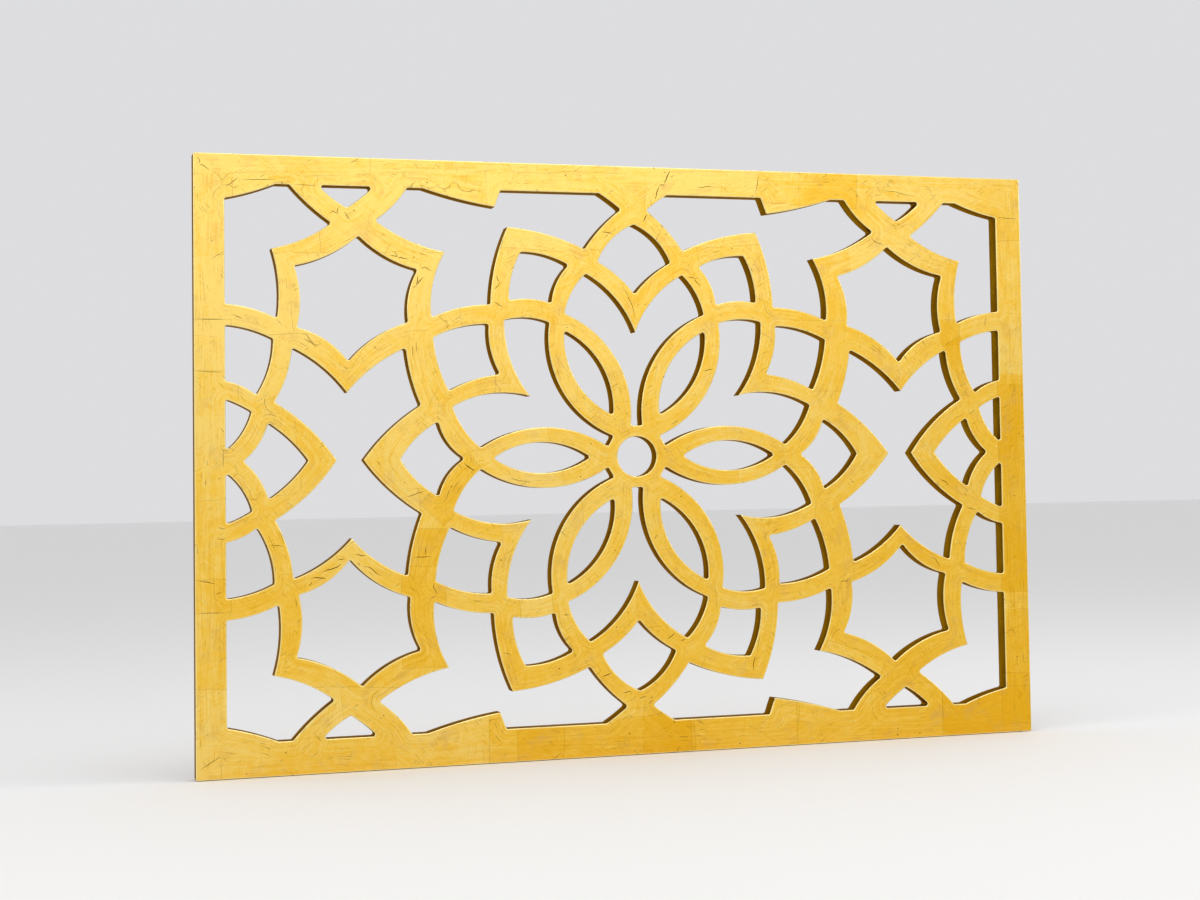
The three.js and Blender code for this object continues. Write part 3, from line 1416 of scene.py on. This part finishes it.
@dataclass(frozen=True)
class CutEdge(Finish):
    """The sawn wall of an opening under a thin brown-gold coat, with painted shade that darkens it towards
    the face.
    """

    # The dark end of this range is painted shade, the colour of a wall in shadow.
    light: Colour = (0.41, 0.245, 0.014, 1)
    dark: Colour = (0.115, 0.062, 0.006, 1)
    fleck: Colour = (0.75, 0.48, 0.08, 1)
    glint: Colour = (0.5, 0.3, 0.03, 1)
    thickness: float = 0.019

    def material(self) -> bpy.types.Material:
        """Mix the edge's coat, with the strokes that the brush left along it and the painted shade towards
        the face.

        Returns:
            The material.
        """
        sheet = NodeSheet("cut_edge")
        place = sheet.place()
        depth = sheet.add("SeparateXYZ", {0: place}).outputs[1]
        # painted shade: the wall is painted darker towards the gilded face
        behind = sheet.span(depth, -self.thickness, -0.15 * self.thickness)
        strokes = sheet.noise(sheet.lay(sheet.grain(), (0.3, 0.03)), 1.0, 4.0, 0.65)
        clouds = sheet.noise(place, 38.0, 4.0)
        tone = sheet.total(0.5, [(behind, 0.5), (strokes, 0.6), (clouds, 0.8)])
        colour = sheet.mix(sheet.span(tone, 0.05, 0.9), self.dark, self.light)
        fleck = sheet.span(sheet.noise(place, 320.0, 2.0), 0.66, 0.74, 0, 0.5)
        sheet.feed(sheet.shader.inputs["Base Color"], sheet.mix(fleck, colour, self.fleck))
        sheet.feed(sheet.shader.inputs["Roughness"], sheet.span(strokes, 0.3, 0.7, 0.34, 0.52))
        sheet.relief(strokes, 0.3, RELIEF_DEPTH)
        sheet.shader.inputs["Metallic"].default_value = 1.0
        sheet.shader.inputs["Specular Tint"].default_value = self.glint
        return sheet.made


@dataclass(frozen=True)
class SealedBack(Finish):
    """The plain back, sealed with ochre size that went on with a roller."""

    light: Colour = (0.46, 0.29, 0.115, 1)
    dark: Colour = (0.33, 0.185, 0.065, 1)

    def material(self) -> bpy.types.Material:
        """Mix the back's size, with the roller's stipple and its overlapping bands.

        Returns:
            The material.
        """
        sheet = NodeSheet("sealed_back")
        plan = sheet.plan()
        rolled = sheet.noise(sheet.lay(plan, (0.012, 0.06)), 1.0, 4.0)
        clouds, stipple = sheet.noise(plan, 9.0), sheet.noise(plan, 750.0)
        tone = sheet.total(0.5, [(rolled, 0.7), (clouds, 0.8), (stipple, 0.3)])
        colour = sheet.mix(sheet.span(tone, 0.2, 0.8), self.dark, self.light)
        sheet.feed(sheet.shader.inputs["Base Color"], colour)
        sheet.feed(sheet.shader.inputs["Roughness"], sheet.span(clouds, 0.3, 0.7, 0.55, 0.7))
        sheet.relief(stipple, 0.4, RELIEF_DEPTH)
        return sheet.made


@dataclass(frozen=True)
class SoftLight:
    """A soft light: where it stands, its width and height in metres, its power and its colour."""

    name: str
    place: tuple[float, float, float]
    size: tuple[float, float]
    watts: float
    colour: tuple[float, float, float]


@dataclass
class Studio:
    """The pale floor, the soft lights and the camera at the photograph's viewing angle."""

    floor_height: float
    focal_pixels: float = 2224.0
    axis_pixel: tuple[float, float] = (820.0, 378.0)
    frame_pixels: tuple[float, float] = (1200.0, 900.0)
    pitch: float = -2.90
    yaw: float = -20.08
    roll: float = -1.10
    shift: tuple[float, float, float] = (-0.311, 0.137, 3.785)
    panel_height: float = 0.6
    face_centre: tuple[float, float, float] = (0.0, -0.019, -0.28575)
    sensor: float = 36.0
    floor_reach: float = 30.0
    floor_colour: Colour = (0.88, 0.88, 0.87, 1)
    wall_colour: Colour = (0.93, 0.93, 0.95, 1)
    wall_strength: float = 0.78
    lights: tuple[SoftLight, ...] = (
        SoftLight("key", (0.4, -2.7, 0.85), (2.4, 1.5), 10, (1.0, 0.98, 0.94)),
        SoftLight("left", (-2.6, -1.0, 0.75), (1.0, 1.2), 10, (1.0, 0.99, 0.97)),
        SoftLight("right", (2.6, -1.0, 0.75), (1.0, 1.2), 10, (1.0, 0.99, 0.97)),
        SoftLight("top", (0.2, -0.5, 1.9), (1.8, 0.8), 12, (1.0, 1.0, 1.0)),
    )

    def build_floor(self) -> bpy.types.Object:
        """Lay the floor.

        Returns:
            The floor.
        """
        mesh = bpy.data.meshes.new("studio_floor")
        reach = self.floor_reach
        corners = [(-reach, -reach), (reach, -reach), (reach, reach), (-reach, reach)]
        mesh.from_pydata([(x, y, self.floor_height) for x, y in corners], [], [(0, 1, 2, 3)])
        floor = bpy.data.objects.new("studio_floor", mesh)
        sheet = NodeSheet("pale_floor")
        sheet.shader.inputs["Base Color"].default_value = self.floor_colour
        sheet.shader.inputs["Roughness"].default_value = 0.75
        mesh.materials.append(sheet.made)
        bpy.context.scene.collection.objects.link(floor)
        return floor

    def add_light(self, soft: SoftLight) -> None:
        """Add a soft light that looks at the middle of the face.

        Args:
            soft: The light.
        """
        data = bpy.data.lights.new(soft.name, "AREA")
        data.shape = "RECTANGLE"
        data.size, data.size_y = soft.size
        data.energy = soft.watts
        data.color = soft.colour
        light = bpy.data.objects.new(soft.name, data)
        light.location = soft.place
        aim = Vector(self.face_centre) - Vector(soft.place)
        light.rotation_mode = "QUATERNION"
        light.rotation_quaternion = aim.to_track_quat("-Z", "Y")
        bpy.context.scene.collection.objects.link(light)

    def build_lights(self) -> None:
        """Set the soft lights and the pale surroundings."""
        world = bpy.data.worlds.new("studio")
        world.use_nodes = True
        back = world.node_tree.nodes["Background"]
        back.inputs["Color"].default_value = self.wall_colour
        back.inputs["Strength"].default_value = self.wall_strength
        bpy.context.scene.world = world
        for soft in self.lights:
            self.add_light(soft)

    def build_camera(self) -> None:
        """Place the camera as the photograph's was."""
        width, height = self.frame_pixels
        data = bpy.data.cameras.new("photo_view")
        data.sensor_fit = "HORIZONTAL"
        data.sensor_width = self.sensor
        data.lens = self.sensor * self.focal_pixels / width
        data.shift_x = (width / 2 - self.axis_pixel[0]) / width
        data.shift_y = (self.axis_pixel[1] - height / 2) / width
        data.clip_start, data.clip_end = 0.05, 100.0
        pitch, yaw, roll = (math.radians(a) for a in (self.pitch, self.yaw, self.roll))
        turn = Matrix.Rotation(roll, 3, "Z") @ Matrix.Rotation(pitch, 3, "X") @ Matrix.Rotation(yaw, 3, "Y")
        from_world = Matrix(((1, 0, 0), (0, 0, -1), (0, 1, 0)))
        to_blender = Matrix(((1, 0, 0), (0, -1, 0), (0, 0, -1)))
        turn = turn @ from_world
        move = Vector(self.shift) * self.panel_height
        camera = bpy.data.objects.new("photo_view", data)
        place = Vector(self.face_centre) - turn.transposed() @ move
        camera.matrix_world = Matrix.Translation(place) @ (to_blender @ turn).transposed().to_4x4()
        bpy.context.scene.collection.objects.link(camera)
        bpy.context.scene.camera = camera


FLOOR_GAP = 0.0005
LEAF_PIECES = (
    LeafPiece(-187, -31, -134, 34, 17, 0.22),
    LeafPiece(-219, -137, -90, 68, 22, 0.26),
    LeafPiece(190, 282, -2, 56, 20, 0.20),
    LeafPiece(422, -34, -90, 118, 18, 0.30),
    LeafPiece(-35, -286, 3, 92, 20, 0.20),
    LeafPiece(422, -232, -90, 62, 20, 0.20),
    LeafPiece(-106, -152, 5, 17, 14, -0.20),
    LeafPiece(-422, 112, -90, 25, 20, -0.12),
    LeafPiece(-422, -129, -90, 16, 20, 0.12),
    LeafPiece(351, 129, 0, 11, 14, 0.26),
    LeafPiece(362, 98, -64, 24, 12, 0.28),
    LeafPiece(-299, -270, -2, 144, 50, -0.14),
    LeafPiece(288, -235, 38, 33, 12, 0.08),
    LeafPiece(231, -220, -21, 35, 14, -0.14),
    LeafPiece(384, -283, 0, 52, 30, 0.16),
    LeafPiece(110, -280, 1, 58, 25, -0.12),
)
CRACKS = (
    Crack(-306, 246, -72, 10),
    Crack(-299, 251, -85, 12),
    Crack(-294, 244, -54, 11),
    Crack(-252, 202, -14, 22, 0.5, 9),
    Crack(-246, 205, -49, 11),
    Crack(-220, 189, -14, 16),
    Crack(-204, 187, -119, 9),
    Crack(-216, 181, -134, 18, 0.5, 9),
    Crack(-222, 182, -104, 13, 0.45, 9),
    Crack(-144, 185, -58, 10),
    Crack(-139, 177, -126, 11),
    Crack(-149, 158, -24, 14),
    Crack(-407, 265, 30, 16, 0.3, 5),
    Crack(-392, 272, 4, 34, 0.3, 4),
    Crack(-344, 269, -2, 32, 0.25, 3),
    Crack(-335, 123, -27, 22),
    Crack(-334, 119, -31, 16),
    Crack(-399, 142, -42, 10),
    Crack(-434, 137, -2, 25, 0.3, 2),
    Crack(-434, 87, -2, 25, 0.3, 2),
    Crack(-434, -113, -12, 17, 0.45, 6),
    Crack(-433, -144, 0, 24, 0.3, 2),
    Crack(-418, -126, -11, 7),
    Crack(-416, -63, -3, 9),
    Crack(-416, -72, -11, 9),
    Crack(-409, 36, -90, 42, 0.25, 3),
    Crack(-433, 294, -69, 11),
    Crack(-433, 289, -32, 15),
    Crack(-371, -82, -5, 18, 0.35, 6),
    Crack(-228, 113, -90, 13, 0.25, 5),
    Crack(-224, 117, -90, 12, 0.25, 5),
    Crack(-329, -114, 8, 23, 0.6, 9),
    Crack(-327, -117, -104, 6, 0.4),
    Crack(-317, -108, 19, 20, 0.6, 9),
    Crack(-303, -97, 20, 8, 0.45),
    Crack(-286, -92, -9, 23, 0.5, 9),
    Crack(-278, -104, -28, 21, 0.5, 9),
    Crack(-284, -100, -31, 10, 0.4),
    Crack(-231, -97, 1, 20, 0.45, 7),
    Crack(-217, -87, -83, 8),
    Crack(-209, -122, -75, 13, 0.4),
    Crack(-183, 0, -29, 24, 0.6, 9),
    Crack(-236, -37, 14, 22, 0.4, 7),
    Crack(-269, 9, -19, 6, 0.45),
    Crack(-79, -158, -2, 13, 0.5, 9),
    Crack(-58, -174, -124, 10, 0.5, 9),
    Crack(29, -187, 34, 12, 0.55, 9),
    Crack(43, -190, 12, 11, 0.5, 9),
    Crack(-42, -223, 30, 13, 0.55, 9),
    Crack(-136, -21, -3, 28, 0.3, 6),
    Crack(20, -80, -98, 9),
    Crack(40, 295, -114, 16, 0.55, 8),
    Crack(34, 280, -172, 7, 0.5, 8),
    Crack(28, 279, -105, 16, 0.5, 8),
    Crack(14, 249, -114, 9, 0.5, 8),
    Crack(137, 294, -101, 36, 0.25, 3),
    Crack(-36, 230, -15, 18, 0.4),
    Crack(-11, 172, -66, 35, 0.3, 6),
    Crack(57, 185, -9, 12, 0.45),
    Crack(68, 88, 0, 16, 0.4),
    Crack(63, 186, -81, 14),
    Crack(236, 9, -52, 13),
    Crack(259, 232, -27, 21),
    Crack(274, 282, -10, 38, 0.25, 4),
    Crack(395, 150, -91, 16),
    Crack(336, -28, -44, 13, 0.5),
    Crack(218, -135, 50, 11, 0.4),
    Crack(323, -112, -28, 17),
    Crack(121, -224, 82, 17, 0.45),
    Crack(365, -59, -28, 15),
    Crack(289, -118, 142, 22, 0.3),
    Crack(-23, -230, 39, 9, 0.5, 9),
    Crack(-382, 75, -52, 16),
    Crack(-384, 64, 10, 18),
    Crack(-149, -183, -43, 24, 0.3),
    Crack(68, 279, -19, 19, 0.3),
    Crack(410, 255, -3, 26, 0.3, 3),
    Crack(-433, -292, 34, 23, 0.3, 5),
    Crack(-19, -240, 8, 10, 0.5, 9),
    Crack(-8, -237, 53, 6, 0.45, 9),
    Crack(-2, -246, 15, 9, 0.4, 9),
    Crack(125, -205, 77, 24, 0.25, 3),
)


def main() -> None:
    """Build the stage and the board."""
    logging.basicConfig(level=logging.INFO, format="%(message)s")
    studio = Studio(floor_height=cad_box[0].z - FLOOR_GAP)
    studio.build_floor()
    studio.build_lights()
    studio.build_camera()
    bpy.context.scene.view_settings.view_transform = "Standard"
    board = Board(cracks=CRACKS)
    made = board.build([GoldLeaf(pieces=LEAF_PIECES), CutEdge(), SealedBack()])
    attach(made, "root")
    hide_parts("panel")
    made.data.calc_loop_triangles()
    log.info("%s: %d triangles", made.name, len(made.data.loop_triangles))


if __name__ == "__main__":
    main()
